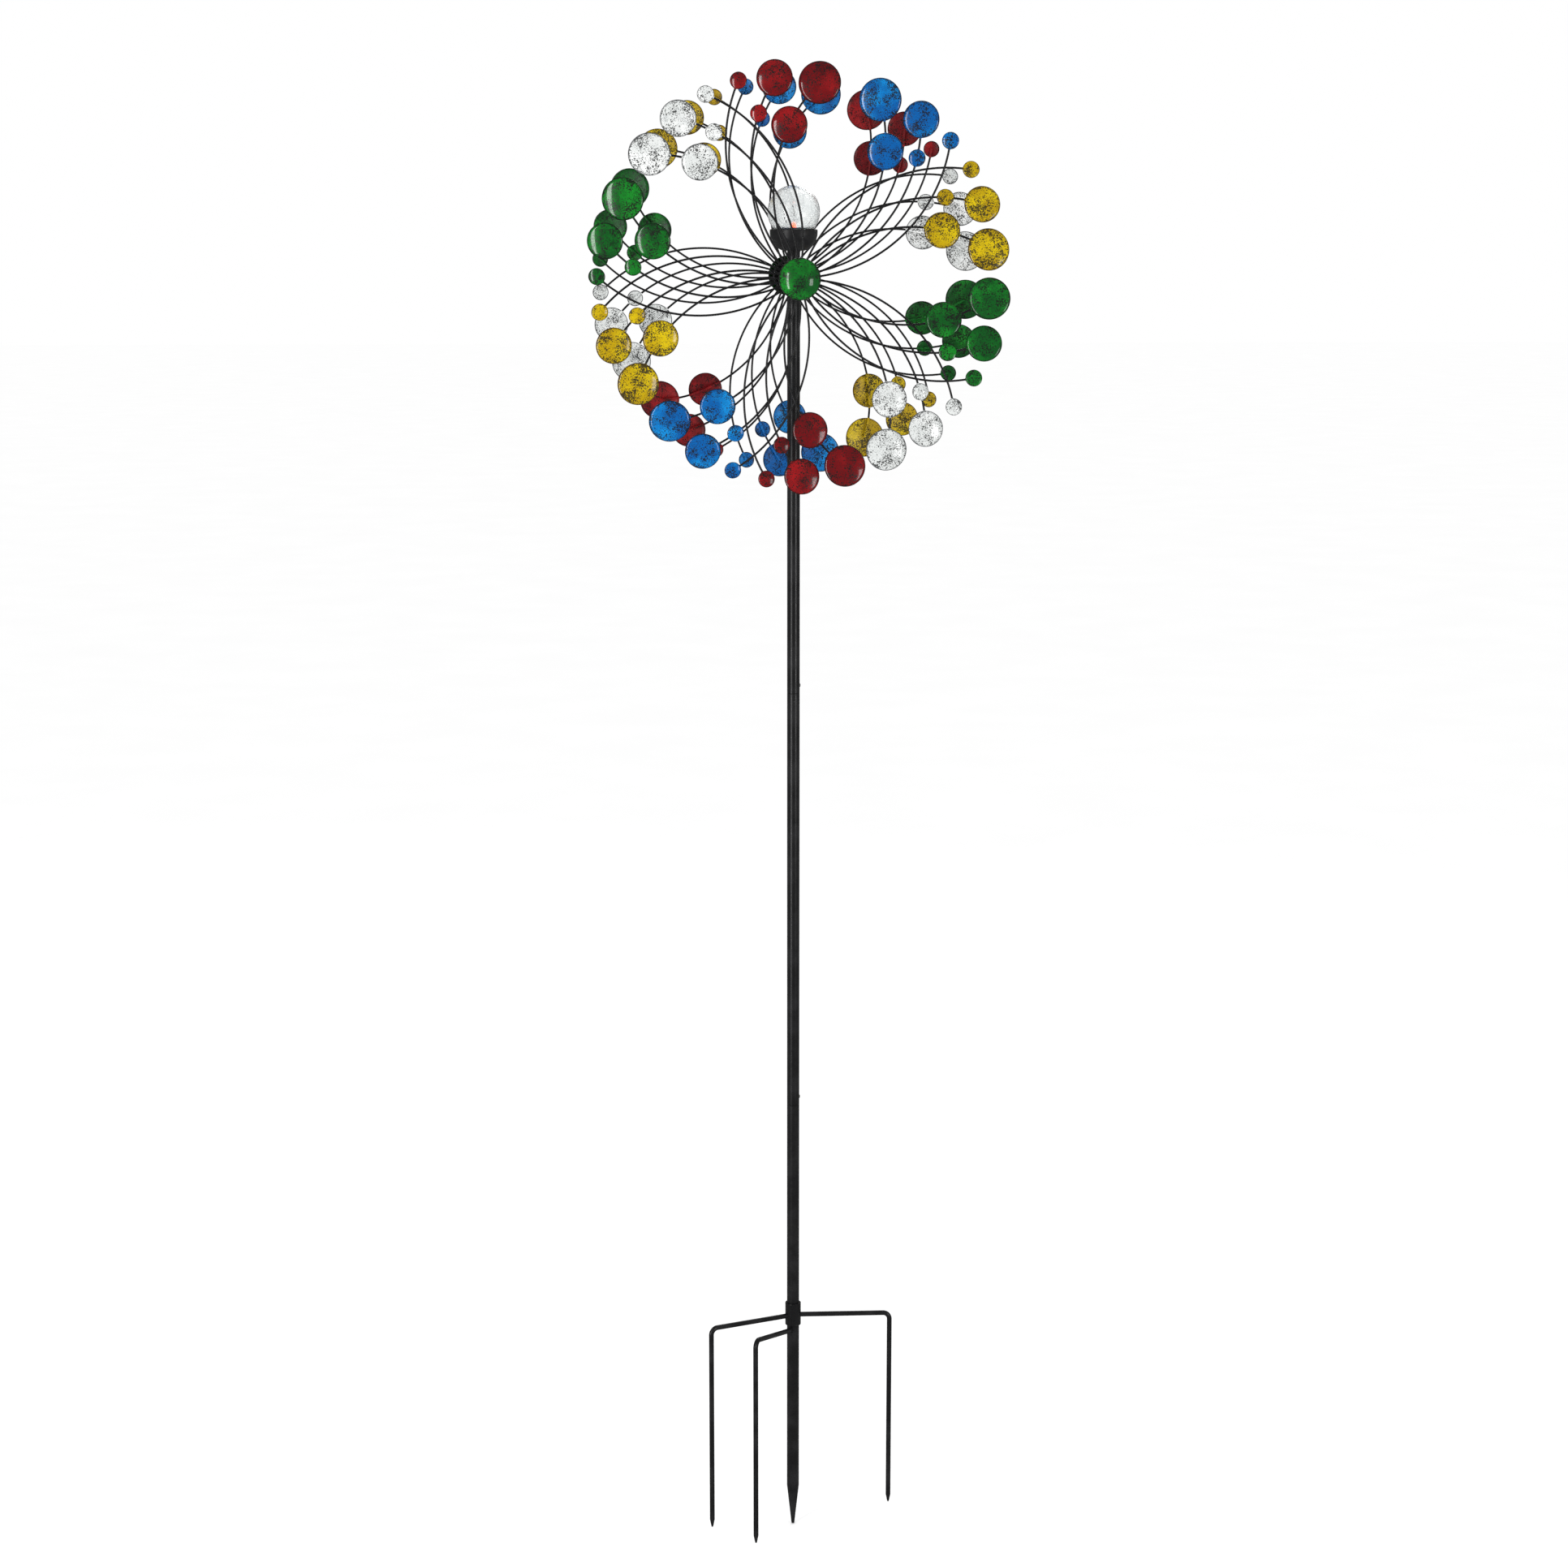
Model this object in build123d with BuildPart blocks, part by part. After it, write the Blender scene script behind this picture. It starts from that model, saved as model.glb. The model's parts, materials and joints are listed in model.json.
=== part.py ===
"""Garden wind spinner: two wire-and-disc rotors and a solar ball light on a staked pole.

Millimetres, +Z up. The origin is on the pole's axis at ground level, the front faces -Y.
Everything below Z = 0 is pushed into the soil.
"""

import os
from math import cos, degrees, radians, sin, sqrt, tan

from build123d import *

# ---- driving dimensions -------------------------------------------------------------------

# pole: three tubes that plug into each other
TUBE_R = 8.0
TUBE_BORE_R = 7.0
SPIGOT_R = 6.95
SPIGOT_BORE_R = 5.95
SPIGOT_LENGTH = 60.0
STAKE_TIP_Z = -268.0
STAKE_TAPER = 54.0
STAKE_TIP_R = 2.0
LOWER_SEAM_Z = 318.0
UPPER_SEAM_Z = 861.0
POLE_TOP_Z = 1423.5
SEAM_CHAMFER = 0.4

# snap buttons that lock the tubes together
BUTTON_R = 2.25
BUTTON_HOLE_R = 2.3
BUTTON_ABOVE_SEAM = 10.0
BUTTON_PROUD = 1.0
NOSE_ROUND = 1.2
LEAF_X = 3.4  # the button's own leaf, from the axis
SPRING_BACK_X = -5.3
SPRING_FOOT_X = 0.6
SPRING_HEEL_R = 0.7
LEAF_WIDTH = 5.0
LEAF_THICK = 0.8
LEAF_LENGTH = 30.0

# ground fork
PRONG_R = 3.2
PRONG_BEND_R = 8.5
PRONG_REACH = 128.0
PRONG_TIP_Z = -240.0
PRONG_POINT = 10.0
PRONG_POINT_R = 1.2
COLLAR_BORE_R = 8.1
COLLAR_R = 10.3
COLLAR_BASE_Z = 14.6
COLLAR_HEIGHT = 30.0
COLLAR_ARM_Z = 27.5
FIXED_ARM_Z = 8.0
RIGHT_AZIMUTH = 0.0  # clockwise seen from above, from +X towards the front
LEFT_AZIMUTH = 149.0
FIXED_AZIMUTH = 115.0
RIGHT_RISE = 0.0  # how steeply each arm climbs outwards, degrees
LEFT_RISE = 4.0
FIXED_RISE = 14.0

# axle and hubs; "out" is the distance from the pole's axis along the axle
AXLE_Z = 1381.0
AXLE_R = 4.0
AXLE_END = 148.3
WHEEL_OUT = 127.0
HUB_R = 20.0
HUB_HALF = 11.5
HUB_SKIN = 2.5
SLEEVE_R = 11.0
BUSH_R = 8.0
BUSH_BORE_R = 4.05
BUSH_LENGTH = 8.0
WASHER_R = 8.5
WASHER_THICK = 1.5
WASHER_GAP = 0.3
NUT_FLATS = 13.0
NUT_THICK = 6.5
SPACER_R = 6.0
FINIAL_R = 25.0
FINIAL_RISE = 13.0
FINIAL_SKIN = 1.6

# wires: each leaves the hub radially and bends in one arc
WIRE_R = 1.25
LAYER = 1.4  # the two hands of wire lie this far in front of and behind the wheel's mid-plane
WIRE_WELD = 1.5  # how far a wire's root reaches into the hub's skin
PETALS = 5
# name of wire: (exit angle from the petal's centre, bend radius, turn in degrees)
WIRES = {
    "outer": (30.0, 183.0, 75.8),
    "middle": (18.0, 185.6, 72.1),
    "inner": (6.0, 175.2, 74.8),
}

# discs: (wire, turn in degrees at which the disc sits, size of disc)
DISCS = (
    ("inner", 74.8, "large"),
    ("inner", 55.0, "medium"),
    ("middle", 72.1, "medium"),
    ("middle", 58.2, "small"),
    ("outer", 75.8, "small"),
)
# size of disc: (radius, rise of the dome, width of the rounded shoulder)
DISC_SIZES = {
    "large": (25.0, 5.0, 3.5),
    "medium": (21.5, 4.4, 3.2),
    "small": (10.0, 2.6, 2.0),
}
DISC_SKIN = 0.9
CROWN_SHARE = 0.7  # share of a dome's rise that its crown has; the rest is in the shoulder
EDGE_HEIGHT = 0.3
SEAM_ANGLE = 50.0
DISC_PITCH = 10.0  # each disc is turned this much about its wire, to catch the wind
WELD_R = 1.6  # bead of weld and enamel that holds a disc to its wire
WELD_PAST_RIM = 0.6
DISC_SINK = 0.5  # how far a disc's rim sinks into the bead

# colour of each petal's two sprays: leading hand, trailing hand
PETAL_COLOURS = (
    ("blue", "yellow"),
    ("white", "red"),
    ("yellow", "green"),
    ("red", "blue"),
    ("green", "white"),
)
# where each wheel's first petal points, seen from that wheel's own face
FRONT_TURN = 39.0
REAR_TURN = 72.0
# the petals are bent by hand, so each leans a little from its even place, degrees
# (the front wheel's heavier side hangs straight down at rest; the rear wheel is even)
FRONT_LEAN = (-2.0, 1.34, 1.3, 0.6, -1.2)
REAR_LEAN = (0.0, 0.0, 0.0, 0.0, 0.0)

# solar ball light
CUP_BASE_Z = 1413.0
CUP_FLOOR_Z = 1426.5
CUP_BASE_R = 13.0
CUP_R = 29.5
CUP_RIM_Z = 1439.0
SOCKET_R = 8.08
SOCKET_TOP_Z = 1424.0
GLOBE_R = 32.3
GLOBE_SKIN = 2.2
GLOBE_Z = 1460.0
GLOBE_SEAT_Z = 1437.5
GLOBE_SEAT_R = 25.3
OPENING_R = 19.6
TRAY_R = 19.0
TRAY_SKIN = 1.4
BATTERY_R = 5.25
BATTERY_LENGTH = 30.0
BOARD_R = 17.0
BOARD_THICK = 1.2
PANEL_THICK = 1.8
LED_R = 2.5
SWITCH_Z = 1419.0
SWITCH_FACE_Y = 26.0
SWITCH_TRAVEL = 4.4
CUP_FLOOR_R = 22.0
CUP_SHOULDER_Z = CUP_RIM_Z - 3.0
CUP_INNER_R = CUP_R - 2.4
CUP_BULGE = (25.0, 1421.5)  # a point on the bowl's outer curve, in (radius, height)
CUP_INNER_BULGE = (24.6, 1429.5)
CUP_RIM_ROUND = 1.2
SEAT_THICK = 1.5
HOUSING_X, HOUSING_Y, HOUSING_Z = 15.0, 12.0, 9.0  # width, inner face and height
SLOT_X, SLOT_Y, SLOT_Z = 10.0, 3.0, 4.2

os.makedirs("parts", exist_ok=True)


def save(piece, name):
    """Label a finished builder's part and write it as a STEP file."""
    piece.part.label = name
    export_step(piece.part, f"parts/{name}.step")


# ---- pole ---------------------------------------------------------------------------------


def revolve_profile(points):
    """Face of a straight-sided profile in (radius, height), for revolve."""
    with BuildSketch(Plane.XZ) as profile:
        with BuildLine():
            Polyline(*points, close=True)
        make_face()
    return profile.sketch


def spigot_outline(seam_z):
    """Outer, top and inner corners of the swaged end that plugs into the tube above."""
    top = seam_z + SPIGOT_LENGTH
    return [
        (TUBE_R, seam_z - SEAM_CHAMFER),
        (TUBE_R - SEAM_CHAMFER, seam_z),
        (SPIGOT_R, seam_z),
        (SPIGOT_R, top - 1.0),
        (SPIGOT_R - 0.6, top),
        (SPIGOT_BORE_R, top),
        (SPIGOT_BORE_R, seam_z - 4.0),
        (TUBE_BORE_R, seam_z - 8.0),
    ]


def tube_foot(seam_z):
    """Inner and outer corners of the open foot of a tube that stands on a seam."""
    return [
        (TUBE_BORE_R, seam_z),
        (TUBE_R - SEAM_CHAMFER, seam_z),
        (TUBE_R, seam_z + SEAM_CHAMFER),
    ]


def drill_button_hole(seam_z, start_x, end_x):
    """Hole for a snap button through the +X wall."""
    with BuildSketch(Plane.YZ.offset(start_x)) as hole:
        with Locations((0, seam_z + BUTTON_ABOVE_SEAM)):
            Circle(BUTTON_HOLE_R)
    extrude(hole.sketch, amount=end_x - start_x, mode=Mode.SUBTRACT)


def make_pole():
    taper_z = STAKE_TIP_Z + STAKE_TAPER
    lower_outline = [(0, STAKE_TIP_Z), (STAKE_TIP_R, STAKE_TIP_Z), (TUBE_R, taper_z)]
    lower_outline += spigot_outline(LOWER_SEAM_Z)
    lower_outline += [(TUBE_BORE_R, taper_z + 10.0), (0, taper_z)]
    with BuildPart() as lower_pole:
        revolve(revolve_profile(lower_outline), axis=Axis.Z)
        drill_button_hole(LOWER_SEAM_Z, 0, TUBE_R)
    save(lower_pole, "lower_pole")

    middle_outline = tube_foot(LOWER_SEAM_Z) + spigot_outline(UPPER_SEAM_Z)
    with BuildPart() as middle_pole:
        revolve(revolve_profile(middle_outline), axis=Axis.Z)
        drill_button_hole(LOWER_SEAM_Z, 0, TUBE_R + 1.0)
        drill_button_hole(UPPER_SEAM_Z, 0, TUBE_R)
        # punched dimple that sets the swaged end
        with Locations((0, -TUBE_R - 1.6, UPPER_SEAM_Z - 10.0)):
            Sphere(2.2, mode=Mode.SUBTRACT)
    save(middle_pole, "middle_pole")

    upper_outline = tube_foot(UPPER_SEAM_Z) + [
        (TUBE_R, POLE_TOP_Z - 1.0),
        (TUBE_R - 1.0, POLE_TOP_Z),
        (0, POLE_TOP_Z),
        (0, POLE_TOP_Z - 1.5),
        (TUBE_BORE_R, POLE_TOP_Z - 1.5),
    ]
    with BuildPart() as upper_pole:
        revolve(revolve_profile(upper_outline), axis=Axis.Z)
        drill_button_hole(UPPER_SEAM_Z, 0, TUBE_R + 1.0)
        with BuildSketch(Plane.XZ):
            with Locations((0, AXLE_Z)):
                Circle(AXLE_R)
        extrude(amount=2 * TUBE_R, both=True, mode=Mode.SUBTRACT)
    save(upper_pole, "upper_pole")


# ---- snap buttons -------------------------------------------------------------------------


def make_snap_button(prefix, seam_z):
    """The button with its own leaf slides in; the back leaf and its foot stay still."""
    button_z = seam_z + BUTTON_ABOVE_SEAM
    nose_x = TUBE_R + BUTTON_PROUD
    leaf_foot_z = button_z - LEAF_WIDTH
    with BuildPart() as button:
        with Locations((LEAF_X, 0, leaf_foot_z)):
            Box(LEAF_THICK, LEAF_WIDTH, LEAF_LENGTH, align=(Align.MIN, Align.CENTER, Align.MIN))
        with BuildSketch(Plane.YZ.offset(LEAF_X)):
            with Locations((0, button_z)):
                Circle(BUTTON_R)
        extrude(amount=nose_x - LEAF_X)
        fillet(button.faces().sort_by(Axis.X)[-1].edges(), radius=NOSE_ROUND)
    save(button, f"{prefix}_snap_button")

    with BuildPart() as spring:
        with Locations((SPRING_BACK_X, 0, leaf_foot_z)):
            Box(LEAF_THICK, LEAF_WIDTH, LEAF_LENGTH, align=(Align.MIN, Align.CENTER, Align.MIN))
        with Locations((SPRING_BACK_X, 0, leaf_foot_z + LEAF_LENGTH)):
            Box(
                SPRING_FOOT_X - SPRING_BACK_X,
                LEAF_WIDTH,
                LEAF_THICK,
                align=(Align.MIN, Align.CENTER, Align.MIN),
            )
        heel = spring.edges().filter_by(Axis.Y).group_by(Axis.Z)[-1].sort_by(Axis.X)[0]
        fillet(heel, radius=SPRING_HEEL_R)
    save(spring, f"{prefix}_button_spring")


# ---- ground fork --------------------------------------------------------------------------


def make_prong(name, azimuth, rise, arm_z, root_radius):
    """Rod that runs out from the pole, bends down and ends in a point."""
    outward = Vector(cos(radians(azimuth)), -sin(radians(azimuth)), 0)
    side = Plane(origin=(0, 0, 0), x_dir=outward, z_dir=outward.cross(Vector(0, 0, 1)))
    corner_z = arm_z + (PRONG_REACH - root_radius) * tan(radians(rise))
    point_top_z = PRONG_TIP_Z + PRONG_POINT
    with BuildPart() as prong:
        with BuildLine(side) as route:
            FilletPolyline(
                (root_radius, arm_z),
                (PRONG_REACH, corner_z),
                (PRONG_REACH, point_top_z),
                radius=PRONG_BEND_R,
            )
        with BuildSketch(Plane(origin=route.line @ 0, z_dir=route.line % 0)):
            Circle(PRONG_R)
        sweep(path=route.line)
        with BuildSketch(side):
            with BuildLine():
                Polyline(
                    (PRONG_REACH, point_top_z),
                    (PRONG_REACH + PRONG_R, point_top_z),
                    (PRONG_REACH + PRONG_POINT_R, PRONG_TIP_Z),
                    (PRONG_REACH, PRONG_TIP_Z),
                    close=True,
                )
            make_face()
        revolve(axis=Axis(tuple(outward * PRONG_REACH), (0, 0, 1)))
    save(prong, name)


def make_fork():
    with BuildPart() as collar:
        with BuildSketch(Plane.XY.offset(COLLAR_BASE_Z)):
            Circle(COLLAR_R)
            Circle(COLLAR_BORE_R, mode=Mode.SUBTRACT)
        extrude(amount=COLLAR_HEIGHT)
        rims = collar.edges().filter_by(GeomType.CIRCLE).filter_by(
            lambda rim: abs(rim.radius - COLLAR_R) < 0.01
        )
        fillet(rims, radius=0.6)
    save(collar, "fork_collar")
    make_prong("right_prong", RIGHT_AZIMUTH, RIGHT_RISE, COLLAR_ARM_Z, COLLAR_R - 0.8)
    make_prong("left_prong", LEFT_AZIMUTH, LEFT_RISE, COLLAR_ARM_Z, COLLAR_R - 0.8)
    make_prong("fixed_prong", FIXED_AZIMUTH, FIXED_RISE, FIXED_ARM_Z, TUBE_R - 0.7)


# ---- axle ---------------------------------------------------------------------------------


def wheel_plane(side):
    """Mid-plane of a wheel: local Z points outwards, local Y is up."""
    out = -1 if side == "front" else 1
    return Plane(origin=(0, out * WHEEL_OUT, AXLE_Z), x_dir=(-out, 0, 0), z_dir=(0, out, 0))


def ring(plane, out, length, radius, bore_radius):
    """Add a ring about a wheel's axis that starts out beyond the wheel's mid-plane."""
    with BuildSketch(plane.offset(out)) as section:
        Circle(radius)
        Circle(bore_radius, mode=Mode.SUBTRACT)
    extrude(section.sketch, amount=length)


def make_axle():
    with BuildPart() as axle:
        with BuildSketch(Plane.XZ.offset(-AXLE_END)):
            with Locations((0, AXLE_Z)):
                Circle(AXLE_R)
        extrude(amount=2 * AXLE_END)
        ends = axle.faces().filter_by(Axis.Y).edges()
        chamfer(ends, length=0.6)
    save(axle, "axle")

    washer_out = HUB_HALF + WASHER_GAP
    with BuildPart() as washers:
        for side in ("front", "rear"):
            for out in (washer_out, -washer_out - WASHER_THICK):
                ring(wheel_plane(side), out, WASHER_THICK, WASHER_R, AXLE_R)
    save(washers, "axle_washers")

    with BuildPart() as nuts:
        for side in ("front", "rear"):
            with BuildSketch(wheel_plane(side).offset(washer_out + WASHER_THICK)):
                RegularPolygon(NUT_FLATS / 2, 6, major_radius=False)
                Circle(AXLE_R, mode=Mode.SUBTRACT)
            extrude(amount=NUT_THICK)
    save(nuts, "axle_nuts")

    pole_gap = 0.05
    spacer_out = TUBE_R + pole_gap - WHEEL_OUT
    for side in ("front", "rear"):
        with BuildPart() as spacer:
            length = -washer_out - WASHER_THICK - spacer_out
            ring(wheel_plane(side), spacer_out, length, SPACER_R, AXLE_R)
        save(spacer, f"{side}_spacer")


def make_hub(side):
    """Drum with a web and a bearing sleeve, its two bushes and the domed finial."""
    plane = wheel_plane(side)
    web = 1.5
    with BuildPart() as hub:
        ring(plane, -HUB_HALF, 2 * HUB_HALF, HUB_R, HUB_R - HUB_SKIN)
        ring(plane, -HUB_HALF, 2 * HUB_HALF, SLEEVE_R, BUSH_R)
        ring(plane, -web, 2 * web, HUB_R - HUB_SKIN, SLEEVE_R)
        rims = hub.edges().filter_by(GeomType.CIRCLE).filter_by(
            lambda rim: abs(rim.radius - HUB_R) < 0.01
        )
        fillet(rims, radius=1.0)
    save(hub, f"{side}_hub")

    with BuildPart() as bushes:
        for out in (-HUB_HALF, HUB_HALF - BUSH_LENGTH):
            ring(plane, out, BUSH_LENGTH, BUSH_R, BUSH_BORE_R)
    save(bushes, f"{side}_bushes")

    rim_out = HUB_HALF + 0.5
    ring_r = HUB_R - HUB_SKIN
    ring_out = HUB_HALF - 5.5
    ring_top = rim_out + crown_height(FINIAL_R, FINIAL_RISE, ring_r) - FINIAL_SKIN / 4
    with BuildPart() as finial:
        add(dome(FINIAL_R, FINIAL_RISE, 3.0, FINIAL_SKIN).moved(plane.offset(rim_out).location))
        ring(plane, ring_out, ring_top - ring_out, ring_r, ring_r - 2.0)
    save(finial, f"{side}_finial")


# ---- wheels -------------------------------------------------------------------------------


def crown_height(radius, rise, at_r):
    """Height of a dome's crown above its rim, at_r from its centre."""
    crown_r = (radius**2 + (CROWN_SHARE * rise) ** 2) / (2 * CROWN_SHARE * rise)
    return rise - crown_r + sqrt(crown_r**2 - at_r**2)


def dome_profile(radius, rise, shoulder):
    """Half section of a shallow dome in (radius, height): crown arc, rolled shoulder, edge."""
    flat_r = radius - shoulder
    middle = (flat_r / 2, crown_height(radius, rise, flat_r / 2))
    shoulder_top = (flat_r, crown_height(radius, rise, flat_r))
    with BuildSketch(Plane.XZ) as profile:
        with BuildLine():
            crown = ThreePointArc((0, rise), middle, shoulder_top)
            edge = TangentArc(shoulder_top, (radius, EDGE_HEIGHT), tangent=crown % 1)
            Polyline(edge @ 1, (radius, 0), (0, 0), crown @ 0)
        make_face()
    return profile.sketch


def dome(radius, rise, shoulder, skin):
    """Hollow dome that stands on its rim at Z = 0 with its crown at +Z."""
    with BuildPart() as shell:
        revolve(dome_profile(radius, rise, shoulder), axis=Axis.Z)
        hollow = dome_profile(radius - skin, rise - skin, shoulder)
        revolve(hollow, axis=Axis.Z, mode=Mode.SUBTRACT)
    # the seam of the turned faces is kept away from where a weld crosses the rim
    return shell.part.rotate(Axis.Z, SEAM_ANGLE)


class Wire:
    """One bent wire in a wheel's own plane. hand is +1 where it bends anticlockwise."""

    def __init__(self, petal_angle, hand, kind):
        exit_angle, self.bend_r, self.turn = WIRES[kind]
        self.hand = hand
        self.heading = petal_angle - hand * exit_angle
        heading = radians(self.heading)
        self.root = Vector(HUB_R * cos(heading), HUB_R * sin(heading))
        normal = Vector(-sin(heading), cos(heading))
        self.centre = self.root + normal * (hand * self.bend_r)
        self.start_angle = self.heading - hand * 90

    def point(self, turn):
        angle = radians(self.start_angle + self.hand * turn)
        return self.centre + Vector(cos(angle), sin(angle)) * self.bend_r

    def tangent(self, turn):
        angle = radians(self.heading + self.hand * turn)
        return Vector(cos(angle), sin(angle))

    def layer_plane(self, plane):
        return plane.offset(self.hand * LAYER)

    def add_arc(self, plane, first_turn, last_turn, radius):
        """Add the round bar of this radius along part of the wire's arc."""
        first = self.start_angle + self.hand * first_turn
        size = self.hand * (last_turn - first_turn)
        with BuildLine(self.layer_plane(plane)) as route:
            CenterArc(tuple(self.centre), self.bend_r, first, size)
        self.add_bar(route.line, radius)

    def add_root(self, plane):
        """Add the straight end that is welded into the hub's skin."""
        inner = self.root * ((HUB_R - WIRE_WELD) / HUB_R)
        with BuildLine(self.layer_plane(plane)) as route:
            Line(tuple(inner), tuple(self.root))
        self.add_bar(route.line, WIRE_R)

    def add_weld(self, plane, first_turn, last_turn):
        """Add a straight bead of weld along the chord between two points of the wire."""
        layer = self.layer_plane(plane)
        first = layer.from_local_coords(tuple(self.point(first_turn)))
        last = layer.from_local_coords(tuple(self.point(last_turn)))
        with BuildSketch(Plane(origin=first, z_dir=last - first)) as section:
            Circle(WELD_R)
        extrude(section.sketch, amount=(last - first).length)

    def add_bar(self, path, radius):
        with BuildSketch(Plane(origin=path @ 0, z_dir=path % 0)) as section:
            Circle(radius)
        sweep(section.sketch, path=path)


def make_petal_wires(plane, petal_angle, name):
    with BuildPart() as wires:
        for hand in (1, -1):
            for kind in WIRES:
                wire = Wire(petal_angle, hand, kind)
                wire.add_root(plane)
                wire.add_arc(plane, 0, wire.turn, WIRE_R)
    save(wires, name)


def make_spray(plane, petal_angle, hand, domes, name):
    """The five discs of one hand of a petal, each with the weld bead along its wire."""
    with BuildPart() as spray:
        for kind, turn, size in DISCS:
            wire = Wire(petal_angle, hand, kind)
            disc_r = DISC_SIZES[size][0]
            reach = degrees((disc_r + WELD_PAST_RIM) / wire.bend_r)
            wire.add_weld(plane, turn - reach, turn)
            if turn < wire.turn:
                wire.add_weld(plane, turn, turn + reach)
            seat = wire.layer_plane(plane).offset(WIRE_R - DISC_SINK)
            centre = seat.from_local_coords(tuple(wire.point(turn)))
            along = seat.from_local_coords(tuple(wire.point(turn) + wire.tangent(turn))) - centre
            across = seat.z_dir.cross(along)
            facing = seat.z_dir * cos(radians(DISC_PITCH)) + across * sin(radians(DISC_PITCH))
            seat = Plane(origin=centre, x_dir=along, z_dir=facing)
            add(domes[size].moved(seat.location))
    save(spray, name)


def make_wheel(side, first_petal, lean, domes):
    plane = wheel_plane(side)
    for number, colours in enumerate(PETAL_COLOURS):
        petal_angle = first_petal + 360 / PETALS * number + lean[number]
        make_petal_wires(plane, petal_angle, f"{side}_wires_{number + 1}")
        for hand, colour in zip((1, -1), colours):
            name = f"{side}_discs_{number + 1}_{colour}"
            make_spray(plane, petal_angle, hand, domes, name)


# ---- solar ball light ---------------------------------------------------------------------


def make_light_cup():
    ledge_z = GLOBE_SEAT_Z - SEAT_THICK
    with BuildPart() as cup:
        with BuildSketch(Plane.XZ):
            with BuildLine():
                Polyline((SOCKET_R, SOCKET_TOP_Z), (SOCKET_R, CUP_BASE_Z), (CUP_BASE_R, CUP_BASE_Z))
                ThreePointArc((CUP_BASE_R, CUP_BASE_Z), CUP_BULGE, (CUP_R, CUP_SHOULDER_Z))
                Polyline(
                    (CUP_R, CUP_SHOULDER_Z),
                    (CUP_R, CUP_RIM_Z),
                    (GLOBE_SEAT_R, CUP_RIM_Z),
                    (GLOBE_SEAT_R, GLOBE_SEAT_Z),
                    (OPENING_R, GLOBE_SEAT_Z),
                    (OPENING_R, ledge_z),
                    (CUP_INNER_R, ledge_z),
                )
                ThreePointArc((CUP_INNER_R, ledge_z), CUP_INNER_BULGE, (CUP_FLOOR_R, CUP_FLOOR_Z))
                Polyline(
                    (CUP_FLOOR_R, CUP_FLOOR_Z),
                    (0, CUP_FLOOR_Z),
                    (0, SOCKET_TOP_Z),
                    (SOCKET_R, SOCKET_TOP_Z),
                )
            make_face()
        revolve(axis=Axis.Z)
        rims = cup.edges().filter_by(GeomType.CIRCLE).group_by(Axis.Z)[-1].sort_by(SortBy.RADIUS)
        fillet(rims[-1], radius=CUP_RIM_ROUND)
        # housing of the power switch, behind
        with Locations((0, HOUSING_Y, SWITCH_Z)):
            Box(HOUSING_X, SWITCH_FACE_Y - HOUSING_Y, HOUSING_Z, align=(Align.CENTER, Align.MIN, Align.CENTER))
        with Locations((0, SWITCH_FACE_Y, SWITCH_Z)):
            Box(
                SLOT_X,
                SLOT_Y,
                SLOT_Z,
                align=(Align.CENTER, Align.MAX, Align.CENTER),
                mode=Mode.SUBTRACT,
            )
    save(cup, "light_cup")

    with BuildPart() as switch:
        with Locations((-SWITCH_TRAVEL / 2, SWITCH_FACE_Y - SLOT_Y + 0.1, SWITCH_Z)):
            Box(4.6, 4.4, 3.6, align=(Align.CENTER, Align.MIN, Align.CENTER))
        fillet(switch.faces().sort_by(Axis.Y)[-1].edges(), radius=0.5)
    save(switch, "power_switch")


def make_globe():
    with BuildPart() as globe:
        with Locations((0, 0, GLOBE_Z)):
            Sphere(GLOBE_R)
            Sphere(GLOBE_R - GLOBE_SKIN, mode=Mode.SUBTRACT)
        split(bisect_by=Plane.XY.offset(GLOBE_SEAT_Z), keep=Keep.TOP)
    save(globe, "glass_globe")


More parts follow.
